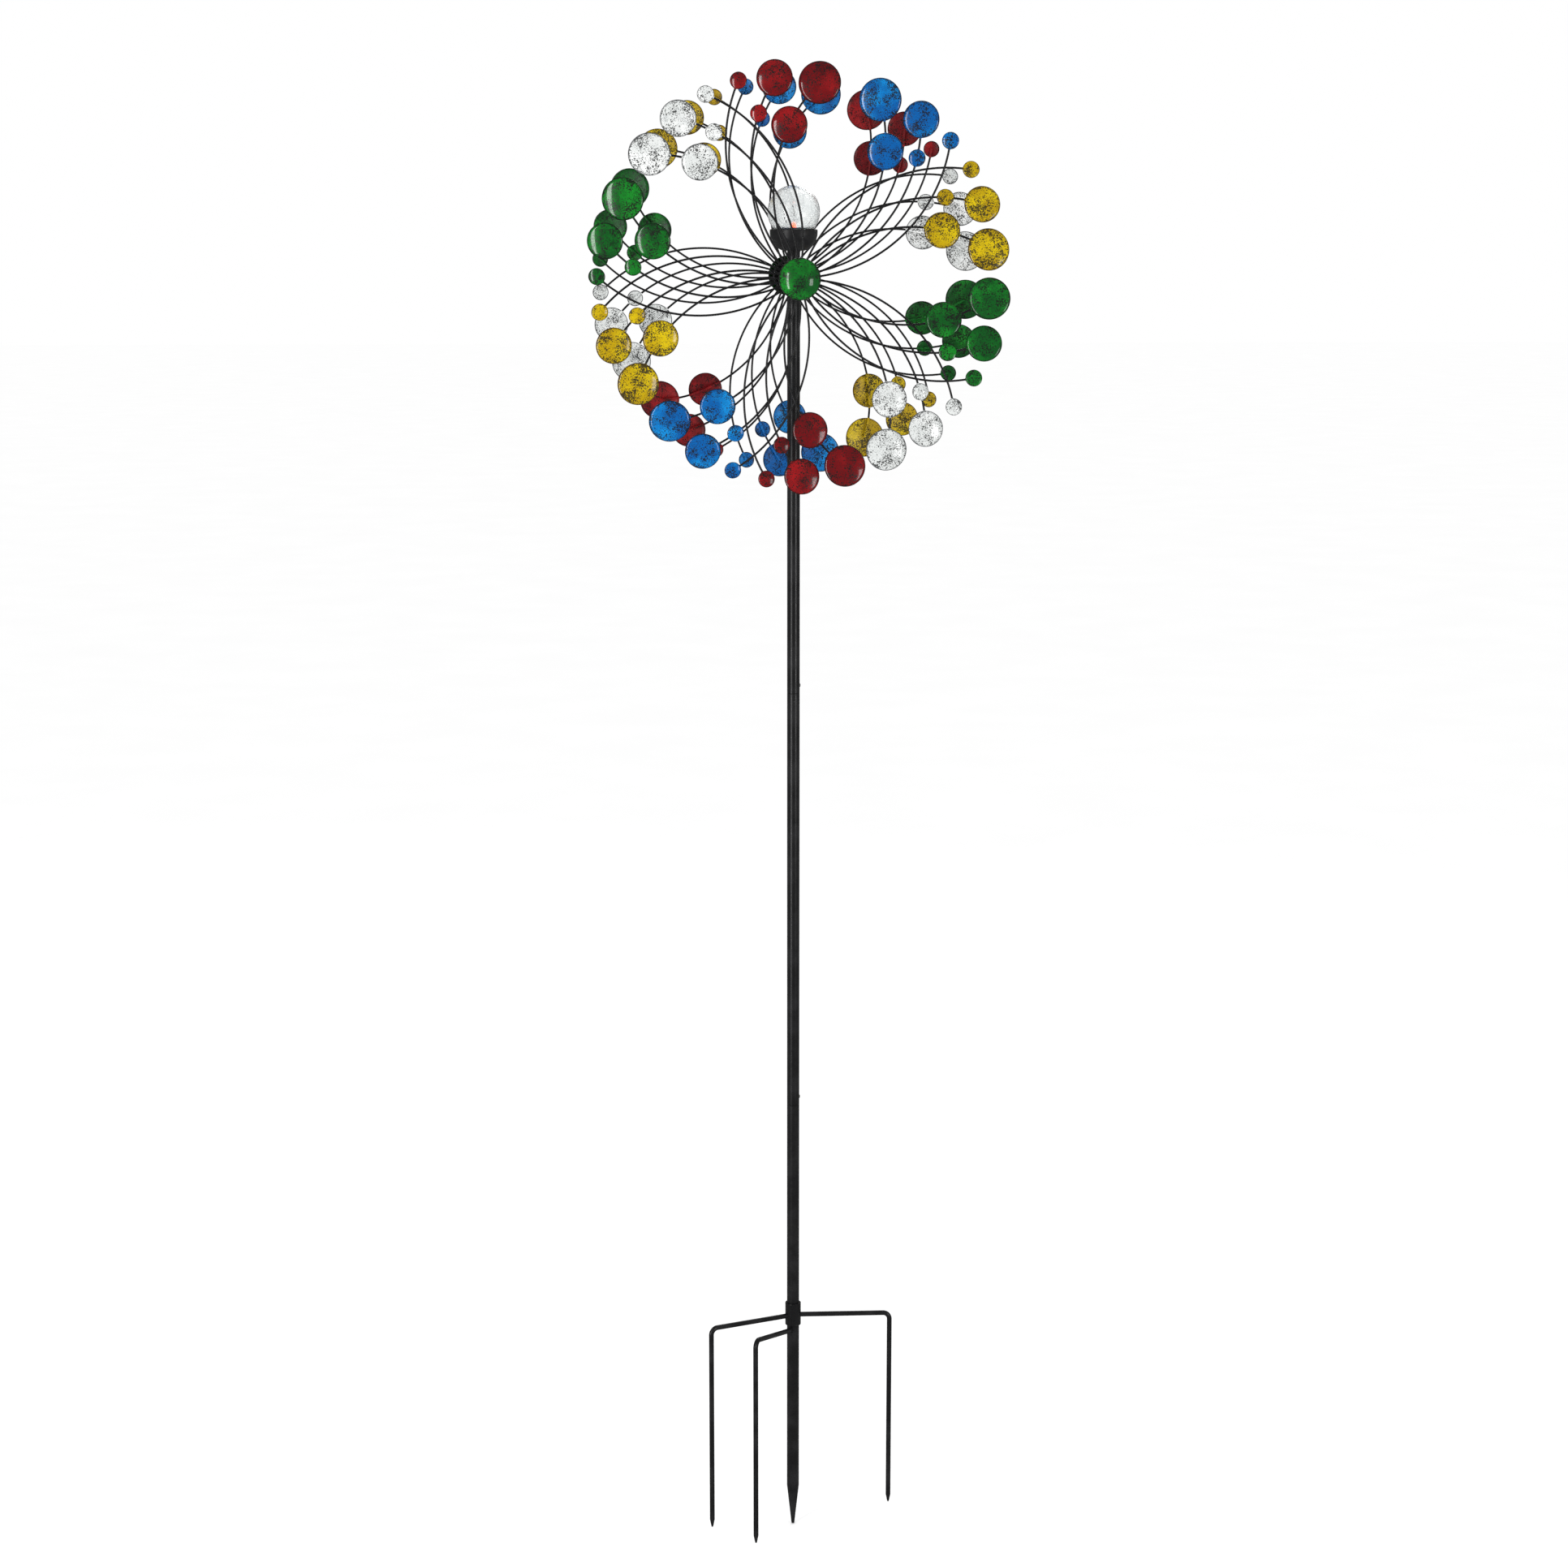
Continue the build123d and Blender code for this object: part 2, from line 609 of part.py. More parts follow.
def make_light_inside():
    tray_top_z = GLOBE_SEAT_Z + 1.1
    battery_z = tray_top_z - TRAY_SKIN - BATTERY_R - 0.1
    with BuildPart() as tray:
        with BuildSketch(Plane.XY.offset(CUP_FLOOR_Z)):
            Circle(TRAY_R)
        extrude(amount=tray_top_z - CUP_FLOOR_Z)
        with BuildSketch(Plane.XY.offset(CUP_FLOOR_Z)):
            Circle(TRAY_R - TRAY_SKIN)
        extrude(amount=tray_top_z - CUP_FLOOR_Z - TRAY_SKIN, mode=Mode.SUBTRACT)
    save(tray, "battery_tray")

    with BuildPart() as battery:
        with BuildSketch(Plane.YZ.offset(-BATTERY_LENGTH / 2)):
            with Locations((0, battery_z)):
                Circle(BATTERY_R)
        extrude(amount=BATTERY_LENGTH - 1.2)
        fillet(battery.edges().filter_by(GeomType.CIRCLE), radius=0.5)
        with BuildSketch(Plane.YZ.offset(BATTERY_LENGTH / 2 - 1.2)):
            with Locations((0, battery_z)):
                Circle(1.9)
        extrude(amount=1.2)
    save(battery, "battery")

    with BuildPart() as board:
        with BuildSketch(Plane.XY.offset(tray_top_z)):
            Circle(BOARD_R)
        extrude(amount=BOARD_THICK)
    save(board, "circuit_board")

    panel_z = tray_top_z + BOARD_THICK
    with BuildPart() as panel:
        with BuildSketch(Plane.XY.offset(panel_z)):
            Circle(BOARD_R)
            Circle(LED_R + 1.0, mode=Mode.SUBTRACT)
        extrude(amount=PANEL_THICK)
    save(panel, "solar_panel")

    with BuildPart() as led:
        with BuildSketch(Plane.XY.offset(panel_z)):
            Circle(LED_R + 0.4)
        extrude(amount=1.0)
        with BuildSketch(Plane.XY.offset(panel_z + 1.0)):
            Circle(LED_R)
        extrude(amount=4.0)
        with Locations((0, 0, panel_z + 5.0)):
            Sphere(LED_R)
    save(led, "led")


# ---- assembly -----------------------------------------------------------------------------


def main():
    make_pole()
    make_snap_button("lower", LOWER_SEAM_Z)
    make_snap_button("upper", UPPER_SEAM_Z)
    make_fork()
    make_axle()
    domes = {size: dome(*shape, DISC_SKIN) for size, shape in DISC_SIZES.items()}
    for side, turn, lean in (
        ("front", FRONT_TURN, FRONT_LEAN),
        ("rear", REAR_TURN, REAR_LEAN),
    ):
        make_hub(side)
        make_wheel(side, turn, lean, domes)
    make_light_cup()
    make_globe()
    make_light_inside()


main()
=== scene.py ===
"""Garden wind spinner with a solar light: materials, enamel glaze, camera and light round the CAD frame.

Units are metres, in the frame of the CAD: the origin is on the pole's axis at ground level, +Z is up and
the front faces -Y. Texture scales are per metre.
"""

import json
import math
from collections import namedtuple

import bmesh
import bpy
import numpy as np
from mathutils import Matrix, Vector, noise

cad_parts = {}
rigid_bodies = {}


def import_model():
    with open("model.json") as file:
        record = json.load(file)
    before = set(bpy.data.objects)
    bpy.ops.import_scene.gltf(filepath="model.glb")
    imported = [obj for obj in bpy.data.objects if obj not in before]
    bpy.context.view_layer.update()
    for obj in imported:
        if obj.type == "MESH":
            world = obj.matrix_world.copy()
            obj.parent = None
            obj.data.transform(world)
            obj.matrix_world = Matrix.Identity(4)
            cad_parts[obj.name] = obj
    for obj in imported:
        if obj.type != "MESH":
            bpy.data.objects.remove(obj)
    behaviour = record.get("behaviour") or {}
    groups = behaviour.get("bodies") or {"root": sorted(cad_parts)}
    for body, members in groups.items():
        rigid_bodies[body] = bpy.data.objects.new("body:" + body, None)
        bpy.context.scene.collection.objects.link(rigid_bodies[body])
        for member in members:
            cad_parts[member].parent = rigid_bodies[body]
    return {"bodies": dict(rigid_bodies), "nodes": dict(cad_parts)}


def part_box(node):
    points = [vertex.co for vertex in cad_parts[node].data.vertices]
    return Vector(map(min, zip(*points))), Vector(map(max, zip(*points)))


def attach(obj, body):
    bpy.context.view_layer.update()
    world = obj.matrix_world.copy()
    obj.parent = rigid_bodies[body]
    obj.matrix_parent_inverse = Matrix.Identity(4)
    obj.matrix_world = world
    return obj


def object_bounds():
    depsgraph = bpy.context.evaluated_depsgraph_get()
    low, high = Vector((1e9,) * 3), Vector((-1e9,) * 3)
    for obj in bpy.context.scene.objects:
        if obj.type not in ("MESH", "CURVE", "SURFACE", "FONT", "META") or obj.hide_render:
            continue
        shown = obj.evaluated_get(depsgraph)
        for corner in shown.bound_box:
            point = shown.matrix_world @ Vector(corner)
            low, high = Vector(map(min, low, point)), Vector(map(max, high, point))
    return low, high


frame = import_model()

MM = 0.001

# Camera: the photograph's viewing angle, from eye height in front and slightly to the left.
CAMERA_AZIMUTH = math.radians(-3.0)
CAMERA_DISTANCE = 3.6
CAMERA_ABOVE_AXLE = 0.06
CAMERA_PITCH = math.radians(10.97)  # downwards
CAMERA_YAW = math.radians(0.19)
CAMERA_REACH = 200.0
SENSOR_WIDTH = 36.0
LENS = 65.9

# Enamel glaze on the discs
GLAZE_PROUD = 0.12 * MM
GLAZE_SEGMENTS = 72
GLAZE_RINGS = 10
SHOULDER_RINGS = 5
GLAZE_TURNED_IN = 0.8 * MM
GLAZE_RIPPLE = 0.05 * MM
RIPPLE_SCALE = 90.0

# Finding each disc's dome in the mesh of its CAD node
WELD_DISTANCE = 0.001 * MM
DISC_CROWN_SLOPE = math.radians(20.0)  # the crown is fitted where it slopes less than this
FINIAL_CROWN_SLOPE = math.radians(40.0)
LARGEST_PITCH = math.radians(12.0)  # how far a disc may be turned from its wheel's axis
AXIS_PASSES = 4
SPHERE_PASSES = 4
SURFACE_FIT_TOLERANCE = 0.03 * MM
RIM_STEP = 0.02 * MM

# Beads round the pole's axis: the glue under the globe and the lips of the fork's collar
BEAD_SEGMENTS = 96
BEAD_SIDES = 12
WOBBLE_SCALE = 6.0
GLUE_THICKNESS = 0.8 * MM
GLUE_INSIDE_CUP = 2.4 * MM
GLUE_BELOW_BRIM = 0.2 * MM
LIP_THICKNESS = 0.75 * MM
LIP_INSIDE_COLLAR = 0.7 * MM
LIP_FROM_END = 0.5 * MM

# Studio
FLOOR_REACH = 40.0
FLOOR_CELLS = 24
FLOOR_GAP = 1.0 * MM
WORLD_STRENGTH = 1.0
WORLD_IN_REFLECTIONS = 0.16


def clear_factory_objects():
    """Removes what Blender's startup file holds, so that only the frame is left."""
    kept = set(frame["nodes"].values()) | set(frame["bodies"].values())
    for item in list(bpy.data.objects):
        if item not in kept:
            bpy.data.objects.remove(item)


clear_factory_objects()
CAD_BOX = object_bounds()


# ---------------------------------------------------------------- materials


class Nodes:
    """A material's node tree, with the few calls that the finishes below need."""

    def __init__(self, name):
        self.material = bpy.data.materials.new(name)
        self.material.use_nodes = True
        self.tree = self.material.node_tree
        self.shader = self.tree.nodes["Principled BSDF"]

    def add(self, kind, **settings):
        node = self.tree.nodes.new(kind)
        for key, value in settings.items():
            setattr(node, key, value)
        return node

    def link(self, source, target):
        self.tree.links.new(source, target)

    def set(self, **values):
        for key, value in values.items():
            self.shader.inputs[key.replace("_", " ")].default_value = value

    def place(self):
        return self.add("ShaderNodeTexCoord").outputs["Object"]

    def attribute(self, name):
        return self.add("ShaderNodeAttribute", attribute_name=name).outputs["Fac"]

    def noise(self, scale, detail=4.0, roughness=0.55):
        node = self.add("ShaderNodeTexNoise")
        node.inputs["Scale"].default_value = scale
        node.inputs["Detail"].default_value = detail
        node.inputs["Roughness"].default_value = roughness
        self.link(self.place(), node.inputs["Vector"])
        return node.outputs["Fac"]

    def cells(self, scale, feature="F1"):
        node = self.add("ShaderNodeTexVoronoi", feature=feature)
        node.inputs["Scale"].default_value = scale
        self.link(self.place(), node.inputs["Vector"])
        return node.outputs["Distance"]

    def steps(self, value, low, high, start=0.0, end=1.0):
        """value mapped from low..high to start..end, smooth at both ends."""
        node = self.add("ShaderNodeMapRange", interpolation_type="SMOOTHSTEP")
        node.inputs["From Min"].default_value = low
        node.inputs["From Max"].default_value = high
        node.inputs["To Min"].default_value = start
        node.inputs["To Max"].default_value = end
        self.link(value, node.inputs["Value"])
        return node.outputs["Result"]

    def math(self, operation, a, b):
        node = self.add("ShaderNodeMath", operation=operation)
        for socket, value in zip(node.inputs, (a, b)):
            if isinstance(value, (int, float)):
                socket.default_value = value
            else:
                self.link(value, socket)
        return node.outputs["Value"]

    def mix(self, factor, a, b):
        node = self.add("ShaderNodeMix", data_type="RGBA")
        self.link(factor, node.inputs["Factor"])
        for name, value in (("A", a), ("B", b)):
            socket = next(
                s for s in node.inputs if s.name == name and s.type == "RGBA"
            )
            if isinstance(value, tuple):
                socket.default_value = (*value, 1.0)
            else:
                self.link(value, socket)
        return next(s for s in node.outputs if s.type == "RGBA")

    def colour(self, value):
        self.link(value, self.shader.inputs["Base Color"])

    def roughness(self, value):
        self.link(value, self.shader.inputs["Roughness"])

    def bump(self, height, strength, distance):
        node = self.add("ShaderNodeBump")
        node.inputs["Strength"].default_value = strength
        node.inputs["Distance"].default_value = distance
        self.link(height, node.inputs["Height"])
        self.link(node.outputs["Normal"], self.shader.inputs["Normal"])


def powder_coat(name):
    n = Nodes(name)
    n.colour(
        n.mix(
            n.steps(n.noise(35.0), 0.4, 0.7), (0.006, 0.006, 0.0065), (0.014, 0.014, 0.015)
        )
    )
    n.roughness(n.steps(n.noise(120.0), 0.3, 0.7, 0.22, 0.34))
    n.bump(n.noise(1900.0, detail=2.0), 0.05, 0.06 * MM)
    n.set(Specular_IOR_Level=0.42)
    return n.material


def plated_steel(name):
    n = Nodes(name)
    n.colour(
        n.mix(n.steps(n.noise(160.0), 0.35, 0.7), (0.64, 0.64, 0.62), (0.46, 0.46, 0.45))
    )
    n.roughness(n.steps(n.noise(400.0), 0.3, 0.7, 0.24, 0.42))
    n.bump(n.noise(2600.0, detail=2.0), 0.08, 0.05 * MM)
    n.set(Metallic=1.0)
    return n.material


def moulded_plastic(name, colour, shade, gloss):
    n = Nodes(name)
    n.colour(n.mix(n.steps(n.noise(60.0), 0.3, 0.7), colour, shade))
    n.roughness(n.steps(n.noise(220.0), 0.3, 0.7, gloss, gloss + 0.12))
    n.bump(n.noise(2400.0, detail=3.0), 0.15, 0.08 * MM)
    n.set(Specular_IOR_Level=0.35)
    return n.material


# base is the plain colour, light its streaks, shade its darker patches and rim its dark edge;
# cover is how far the flecks spread
Enamel = namedtuple("Enamel", "base light shade rim cover")
ENAMELS = {
    "red": Enamel(
        base=(0.13, 0.002, 0.004),
        light=(0.28, 0.005, 0.007),
        shade=(0.045, 0.001, 0.002),
        rim=(0.012, 0.001, 0.001),
        cover=0.50,
    ),
    "blue": Enamel(
        base=(0.0, 0.092, 0.33),
        light=(0.002, 0.22, 0.58),
        shade=(0.0, 0.026, 0.11),
        rim=(0.0, 0.006, 0.024),
        cover=0.54,
    ),
    "yellow": Enamel(
        base=(0.41, 0.27, 0.0),
        light=(0.60, 0.44, 0.001),
        shade=(0.19, 0.09, 0.001),
        rim=(0.05, 0.022, 0.001),
        cover=0.58,
    ),
    "green": Enamel(
        base=(0.002, 0.076, 0.009),
        light=(0.006, 0.21, 0.016),
        shade=(0.001, 0.026, 0.005),
        rim=(0.001, 0.008, 0.002),
        cover=0.55,
    ),
    "white": Enamel(
        base=(0.62, 0.64, 0.63),
        light=(0.80, 0.81, 0.80),
        shade=(0.40, 0.42, 0.43),
        rim=(0.05, 0.053, 0.057),
        cover=0.50,
    ),
}
FLECK = (0.006, 0.006, 0.006)


def enamel(name, tint, glazed):
    """Speckled enamel: the glazed front is glossy and darkens towards its rim, the steel behind is duller."""
    base, light, shade, rim, cover = ENAMELS[tint]
    n = Nodes(name)
    cloud = n.noise(26.0, detail=5.0)
    shadow = n.noise(41.0, detail=5.0, roughness=0.65)
    tone = n.mix(n.steps(cloud, 0.42, 0.68), base, light)
    tone = n.mix(n.steps(shadow, 0.52, 0.78, 0.0, 0.75), tone, shade)

    # flecks gather in patches: cells are cut off at a size that a slower noise sets
    patches = n.steps(n.noise(70.0, detail=4.0), 0.34, 0.66, cover * 0.42, cover)
    if glazed:
        radial = n.attribute("radial")
        ragged = n.math("ADD", radial, n.math("MULTIPLY", n.noise(130.0), 0.16))
        patches = n.math("ADD", patches, n.steps(ragged, 0.90, 1.10, 0.0, 0.10))
    fine = n.steps(n.math("SUBTRACT", patches, n.cells(720.0)), -0.05, 0.05)
    coarse = n.steps(
        n.math("SUBTRACT", n.math("MULTIPLY", patches, 0.74), n.cells(290.0)), -0.02, 0.03
    )
    blots = n.noise(360.0, detail=6.0, roughness=0.7)
    blots = n.steps(n.math("ADD", blots, n.math("MULTIPLY", patches, 0.35)), 0.745, 0.795)
    flecks = n.math("MAXIMUM", n.math("MAXIMUM", fine, coarse), blots)
    tone = n.mix(n.math("MULTIPLY", flecks, 0.9), tone, FLECK)

    if glazed:
        tone = n.mix(n.steps(ragged, 0.96, 1.12, 0.0, 0.5), tone, rim)
        tone = n.mix(n.steps(radial, 0.955, 0.985, 0.0, 0.92), tone, rim)
        n.roughness(n.steps(flecks, 0.0, 1.0, 0.12, 0.3))
        n.bump(n.math("SUBTRACT", n.noise(210.0), flecks), 0.08, 0.1 * MM)
        n.set(Coat_Weight=0.5, Coat_Roughness=0.04, Coat_IOR=1.5)
    else:
        n.roughness(n.steps(n.noise(160.0), 0.3, 0.7, 0.28, 0.45))
        n.bump(n.math("SUBTRACT", n.noise(420.0), flecks), 0.14, 0.12 * MM)
    n.set(Specular_IOR_Level=0.3)
    n.colour(tone)
    return n.material


def crackle_glass(name):
    n = Nodes(name)
    cracks = n.math(
        "MAXIMUM",
        n.steps(n.cells(75.0, "DISTANCE_TO_EDGE"), 0.0, 0.045, 1.0, 0.0),
        n.steps(n.cells(190.0, "DISTANCE_TO_EDGE"), 0.0, 0.05, 0.45, 0.0),
    )
    n.colour(n.mix(cracks, (0.965, 0.98, 0.975), (0.80, 0.83, 0.84)))
    n.roughness(n.steps(cracks, 0.0, 1.0, 0.02, 0.25))
    n.bump(n.math("SUBTRACT", n.noise(60.0), cracks), 0.22, 0.3 * MM)
    n.set(Transmission_Weight=1.0, IOR=1.45)
    return n.material


def solar_cell(name):
    """Dark crystals under a grid of printed silver lines, with finer fingers across them."""
    line_pitch, line_half_width = 4.2 * MM, 0.25 * MM
    finger_pitch, finger_half_width = line_pitch / 4, 0.12 * MM
    n = Nodes(name)
    split = n.add("ShaderNodeSeparateXYZ")
    n.link(n.place(), split.inputs["Vector"])
    lines = n.math("PINGPONG", split.outputs["X"], line_pitch / 2)
    fingers = n.math("PINGPONG", split.outputs["Y"], finger_pitch / 2)
    grid = n.math(
        "MAXIMUM",
        n.steps(lines, 0.0, line_half_width, 1.0, 0.0),
        n.steps(fingers, 0.0, finger_half_width, 0.6, 0.0),
    )
    cell = n.mix(
        n.steps(n.cells(420.0), 0.2, 0.8), (0.008, 0.014, 0.06), (0.02, 0.035, 0.12)
    )
    n.colour(n.mix(grid, cell, (0.5, 0.51, 0.52)))
    n.roughness(n.steps(n.noise(300.0), 0.3, 0.7, 0.12, 0.22))
    n.set(Coat_Weight=0.8, Coat_Roughness=0.05)
    return n.material


def led_lens(name):
    n = Nodes(name)
    n.colour(
        n.mix(n.steps(n.noise(500.0), 0.3, 0.7), (0.95, 0.16, 0.06), (0.98, 0.34, 0.12))
    )
    n.roughness(n.steps(n.noise(900.0), 0.3, 0.7, 0.08, 0.18))
    n.set(Emission_Color=(1.0, 0.09, 0.04, 1.0), Emission_Strength=3.0)
    return n.material


FINISHES = {
    "black_steel": powder_coat("black_powder_coat"),
    "plated_steel": plated_steel("zinc_plate"),
    "nylon": moulded_plastic("nylon", (0.80, 0.78, 0.70), (0.70, 0.68, 0.60), 0.4),
    "black_plastic": moulded_plastic(
        "black_plastic", (0.008, 0.008, 0.009), (0.016, 0.016, 0.017), 0.3
    ),
    "crackle_glass": crackle_glass("crackle_glass"),
    "solar_cell": solar_cell("solar_cell"),
    "circuit_board": moulded_plastic(
        "solder_mask", (0.02, 0.20, 0.07), (0.012, 0.13, 0.05), 0.25
    ),
    "led_lens": led_lens("led_lens"),
    "battery_sleeve": moulded_plastic(
        "battery_sleeve", (0.06, 0.36, 0.14), (0.04, 0.28, 0.10), 0.2
    ),
}
GLAZES = {}
for tint in ENAMELS:
    FINISHES[f"{tint}_enamel"] = enamel(f"{tint}_enamel", tint, glazed=False)
    GLAZES[tint] = enamel(f"{tint}_glaze", tint, glazed=True)

for node in frame["nodes"].values():
    for material_slot in node.material_slots:
        material_slot.material = FINISHES[material_slot.material.name.split(".")[0]]


def smooth_piece(mesh, name, material):
    """A new object in the scene, with the bmesh as its smooth surface."""
    for face in mesh.faces:
        face.smooth = True
    data = bpy.data.meshes.new(name)
    mesh.to_mesh(data)
    mesh.free()
    data.materials.append(material)
    piece = bpy.data.objects.new(name, data)
    bpy.context.scene.collection.objects.link(piece)
    return piece


# ------------------------------------------------------------ enamel glaze


def mesh_arrays(node):
    """A CAD node's vertices, welded where they meet, and its triangles as rows of vertex numbers."""
    mesh = frame["nodes"][node].data
    points = np.empty(len(mesh.vertices) * 3)
    mesh.vertices.foreach_get("co", points)
    points = points.reshape(-1, 3)
    mesh.calc_loop_triangles()
    triangles = np.empty(len(mesh.loop_triangles) * 3, int)
    mesh.loop_triangles.foreach_get("vertices", triangles)
    keys = np.round(points / WELD_DISTANCE).astype(np.int64)
    _, first, inverse = np.unique(keys, axis=0, return_index=True, return_inverse=True)
    return points[first], inverse.reshape(-1)[triangles].reshape(-1, 3)


def separate_solids(points, triangles):
    """The triangles of each connected solid."""
    label = np.arange(len(points))
    while True:
        lowest = label[triangles].min(axis=1)
        update = label.copy()
        for corner in range(3):
            np.minimum.at(update, triangles[:, corner], lowest)
        update = update[update]
        if np.array_equal(update, label):
            break
        label = update
    owner = label[triangles[:, 0]]
    return [triangles[owner == name] for name in np.unique(owner)]


def fitted_sphere(points):
    """Centre and radius of the sphere nearest to the points."""
    middle = points.mean(axis=0)
    local = points - middle
    rows = np.hstack([2 * local, np.ones((len(local), 1))])
    solution, *_ = np.linalg.lstsq(rows, (local**2).sum(axis=1), rcond=None)
    centre = solution[:3]
    return centre + middle, math.sqrt(solution[3] + centre @ centre)


# A disc's dome about the centre of its crown's sphere: heights are along the axis, reaches away from it.
Dome = namedtuple("Dome", "centre axis radius crown_reach rim edge_top edge_bottom")


def front_dome(points, triangles, outward, crown_slope):
    """The dome on the outward side of one solid, found from its own surface."""
    corners = points[triangles]
    cross = np.cross(corners[:, 1] - corners[:, 0], corners[:, 2] - corners[:, 0])
    length = np.linalg.norm(cross, axis=1)
    axis, steepest = outward, crown_slope + LARGEST_PITCH
    for _ in range(AXIS_PASSES):
        facing = (length > 0) & (cross @ axis > math.cos(steepest) * length)
        chosen, area = corners[facing], length[facing]
        centre, radius = fitted_sphere(chosen.reshape(-1, 3))
        for _ in range(SPHERE_PASSES):
            # triangles that stand off the sphere, such as the shoulder's, drop out of the next fit
            off = np.abs(np.linalg.norm(chosen - centre, axis=2) - radius).max(axis=1)
            near = off < max(SURFACE_FIT_TOLERANCE, np.percentile(off, 80) / 2)
            centre, radius = fitted_sphere(chosen[near].reshape(-1, 3))
        off = np.abs(np.linalg.norm(chosen - centre, axis=2) - radius).max(axis=1)
        near = off < SURFACE_FIT_TOLERANCE
        middle = np.average(chosen[near].mean(axis=1), axis=0, weights=area[near])
        axis = (middle - centre) / np.linalg.norm(middle - centre)
        steepest = crown_slope

    def reach_and_height(spots):
        height = (spots - centre) @ axis
        return np.linalg.norm(spots - centre - np.outer(height, axis), axis=1), height

    crown_reach = reach_and_height(chosen[near].reshape(-1, 3))[0].max()
    # the rim is the widest circle that many of the solid's points lie on
    reach, height = reach_and_height(points[np.unique(triangles)])
    steps = np.round(reach / RIM_STEP)
    values, counts = np.unique(steps[reach > crown_reach + RIM_STEP], return_counts=True)
    on_rim = np.abs(steps - values[counts > counts.max() / 2].max()) <= 1
    return Dome(
        Vector(centre),
        Vector(axis),
        radius,
        crown_reach,
        reach[on_rim].mean(),
        height[on_rim].max(),
        height[on_rim].min(),
    )


def glaze_profile(dome):
    """(reach, height) of the glaze from the crown out, over the shoulder and the edge and in behind it."""
    profile = []
    crown_turn = math.asin(dome.crown_reach / dome.radius)
    outer = dome.radius + GLAZE_PROUD
    for ring in range(1, GLAZE_RINGS + 1):
        turn = crown_turn * ring / GLAZE_RINGS
        profile.append((outer * math.sin(turn), outer * math.cos(turn)))

    # the shoulder's arc leaves the crown smoothly and ends at the top of the edge
    inward = Vector((-math.sin(crown_turn), -math.cos(crown_turn)))
    start = -inward * dome.radius
    end = Vector((dome.rim, dome.edge_top))
    bend = (end - start).length_squared / (2 * inward.dot(end - start))
    middle = start + inward * bend
    first = math.atan2(*(start - middle))
    last = math.atan2(*(end - middle))
    for ring in range(1, SHOULDER_RINGS + 1):
        turn = first + (last - first) * ring / SHOULDER_RINGS
        arm = bend + GLAZE_PROUD
        profile.append((middle.x + arm * math.sin(turn), middle.y + arm * math.cos(turn)))

    under = dome.edge_bottom - GLAZE_PROUD
    profile.append((dome.rim + GLAZE_PROUD, dome.edge_bottom))
    profile.append((dome.rim, under))
    profile.append((dome.rim - GLAZE_TURNED_IN, under))
    return profile


def add_glaze(mesh, radial, dome):
    """Adds one glazed front to the mesh, with a slight ripple from the firing."""
    side = dome.axis.orthogonal().normalized()
    up = dome.axis.cross(side)

    def point(reach, height, angle):
        across = side * math.cos(angle) + up * math.sin(angle)
        spot = dome.centre + dome.axis * height + across * reach
        if reach > dome.crown_reach:
            return spot
        return spot + dome.axis * (noise.noise(spot * RIPPLE_SCALE) * GLAZE_RIPPLE)

    crown = mesh.verts.new(point(0.0, dome.radius + GLAZE_PROUD, 0.0))
    crown[radial] = 0.0
    previous = None
    furthest = 0.0
    for reach, height in glaze_profile(dome):
        furthest = max(furthest, reach)
        ring = []
        for step in range(GLAZE_SEGMENTS):
            angle = 2 * math.pi * step / GLAZE_SEGMENTS
            vertex = mesh.verts.new(point(reach, height, angle))
            vertex[radial] = furthest / dome.rim
            ring.append(vertex)
        for step in range(GLAZE_SEGMENTS):
            ahead = (step + 1) % GLAZE_SEGMENTS
            if previous is None:
                mesh.faces.new((crown, ring[step], ring[ahead]))
            else:
                mesh.faces.new((previous[step], ring[step], ring[ahead], previous[ahead]))
        previous = ring


def glaze_node(node, tint, body, outward, crown_slope):
    """A glazed front for every disc of a CAD node."""
    mesh = bmesh.new()
    radial = mesh.verts.layers.float.new("radial")
    points, triangles = mesh_arrays(node)
    for solid in separate_solids(points, triangles):
        add_glaze(mesh, radial, front_dome(points, solid, outward, crown_slope))
    piece = smooth_piece(mesh, f"{node}_glaze", GLAZES[tint])
    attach(piece, body)


for side, direction in (("front", -1.0), ("rear", 1.0)):
    outward = np.array([0.0, direction, 0.0])
    for node in sorted(frame["nodes"]):
        if node.startswith(f"{side}_discs_"):
            tint = node.rsplit("_", 1)[1]
            glaze_node(node, tint, f"{side}_rotor", outward, DISC_CROWN_SLOPE)
    glaze_node(f"{side}_finial", "green", f"{side}_rotor", outward, FINIAL_CROWN_SLOPE)


# ------------------------------------------------------------- small pieces


def ring_piece(name, radius, height, thickness, body, slot, wobble):
    """A bead round the pole's axis, with a round section that varies a little along its length."""
    mesh = bmesh.new()
    rings = []
    for step in range(BEAD_SEGMENTS):
        angle = 2 * math.pi * step / BEAD_SEGMENTS
        direction = Vector((math.cos(angle), math.sin(angle), 0.0))
        spot = direction * WOBBLE_SCALE + Vector((height, 0, 0))
        section = thickness * (1.0 + wobble * noise.noise(spot))
        ring = []
        for turn in range(BEAD_SIDES):
            around = 2 * math.pi * turn / BEAD_SIDES
            level = Vector((0, 0, height + section * math.sin(around)))
            out = radius + section * math.cos(around)
            ring.append(mesh.verts.new(direction * out + level))
        rings.append(ring)
    for step in range(BEAD_SEGMENTS):
        ahead = rings[(step + 1) % BEAD_SEGMENTS]
        for turn in range(BEAD_SIDES):
            after = (turn + 1) % BEAD_SIDES
            mesh.faces.new((rings[step][turn], ahead[turn], ahead[after], rings[step][after]))
    piece = smooth_piece(mesh, name, FINISHES[slot])
    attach(piece, body)


